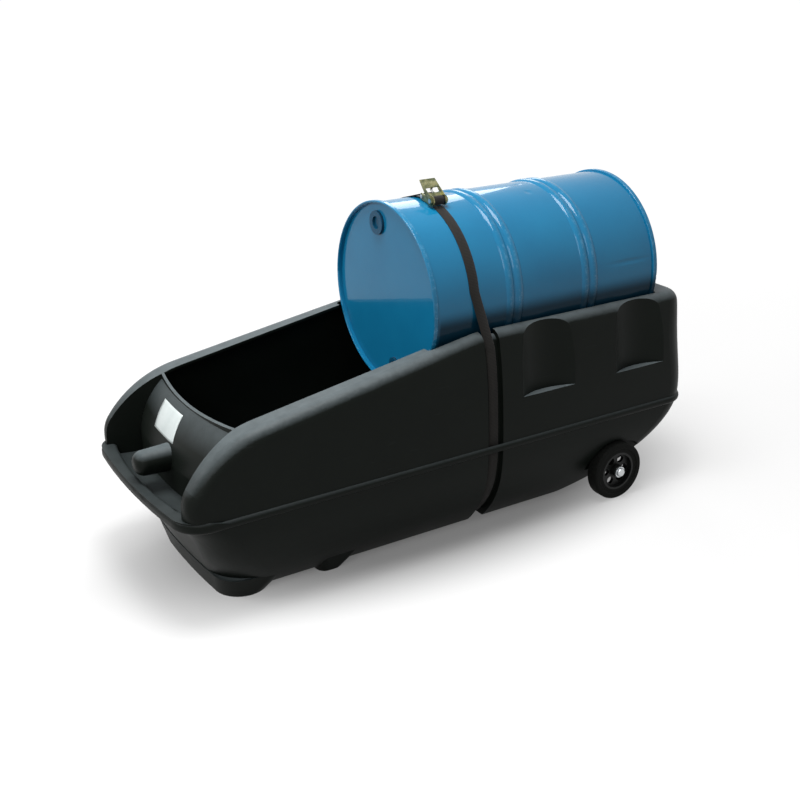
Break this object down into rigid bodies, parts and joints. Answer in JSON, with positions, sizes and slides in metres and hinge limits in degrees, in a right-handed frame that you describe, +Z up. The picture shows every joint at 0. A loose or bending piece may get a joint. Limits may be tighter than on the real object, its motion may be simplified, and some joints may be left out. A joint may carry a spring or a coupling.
{
  "type": "drum trolley",
  "caption": "Moulded plastic drum trolley with a spill sump, grip rail and rear wheels, carrying a steel drum on its side under a ratchet strap.",
  "frame": {"origin": "on the floor under the middle of the tub", "axes": "+X from the grip rail to the wheels, +Y to the left of a user walking behind the rail, +Z up"},
  "size_m": [1.8698, 0.7704, 1.0957],
  "materials": {
    "tub": "satin rotomoulded polyethylene",
    "tyre": "matt black rubber",
    "hub": "satin black nylon",
    "bush": "satin acetal",
    "steel": "bright zinc plate",
    "drum": "gloss blue enamel",
    "closure": "bright zinc plate",
    "gasket": "matt",
    "webbing": "woven polyester",
    "ratchet": "yellow zinc plate"
  },
  "bodies": {
    "trolley": {"tub": "tub", "axle": "steel", "strap_run": "webbing", "inner_washer_left": "steel", "outer_washer_left": "steel", "axle_cap_left": "steel", "inner_washer_right": "steel", "outer_washer_right": "steel", "axle_cap_right": "steel", "drum_shell": "drum", "drum_front_head": "drum", "drum_rear_head": "drum", "large_flange": "closure", "large_gasket": "gasket", "small_flange": "closure", "small_gasket": "gasket", "ratchet_frame": "ratchet", "anchor_pin": "steel", "lock_spring": "steel"},
    "wheel_left": {"tyre_left": "tyre", "wheel_hub_left": "hub", "hub_bush_left": "bush"},
    "wheel_right": {"tyre_right": "tyre", "wheel_hub_right": "hub", "hub_bush_right": "bush"},
    "handle": {"ratchet_handle": "ratchet", "drive_spring": "steel"},
    "spindle": {"spindle": "steel", "ratchet_wheels": "ratchet", "spindle_rings": "ratchet", "strap_winding": "webbing"},
    "drive_pawl": {"drive_pawl": "ratchet"},
    "lock_pawl": {"lock_pawl": "ratchet"},
    "large_plug": {"large_plug": "closure"},
    "small_plug": {"small_plug": "closure"}
  },
  "joints": [
    {"name": "wheel_left_spin", "type": "hinge", "parent": "trolley", "child": "wheel_left", "pos_m": [0.62, 0, 0.1], "axis": [0, 1, 0], "continuous": true},
    {"name": "wheel_right_spin", "type": "hinge", "parent": "trolley", "child": "wheel_right", "pos_m": [0.62, 0, 0.1], "axis": [0, 1, 0], "continuous": true},
    {"name": "handle_swing", "type": "hinge", "parent": "trolley", "child": "handle", "pos_m": [0.075, -0.08274, 1.04063], "axis": [1, 0, 0], "range_deg": [0, 135]},
    {"name": "spindle_turn", "type": "hinge", "parent": "trolley", "child": "spindle", "pos_m": [0.075, -0.08274, 1.04063], "axis": [1, 0, 0], "continuous": true},
    {"name": "drive_pawl_slide", "type": "slide", "parent": "handle", "child": "drive_pawl", "axis": [0, 0.809, 0.5878], "range_m": [0, 0.005], "stiffness_N_per_m": 400, "springref_m": -0.003, "deforming": ["drive_spring"]},
    {"name": "lock_pawl_slide", "type": "slide", "parent": "trolley", "child": "lock_pawl", "axis": [0, 0.9816, 0.1908], "range_m": [0, 0.005], "stiffness_N_per_m": 400, "springref_m": -0.003, "deforming": ["lock_spring"]},
    {"name": "large_plug_turn", "type": "hinge", "parent": "trolley", "child": "large_plug", "pos_m": [-0.061, 0.04484, 0.96444], "axis": [-1, 0, 0], "range_deg": [0, 360]},
    {"name": "small_plug_turn", "type": "hinge", "parent": "trolley", "child": "small_plug", "pos_m": [-0.061, -0.04484, 0.52755], "axis": [-1, 0, 0], "range_deg": [0, 360]}
  ]
}
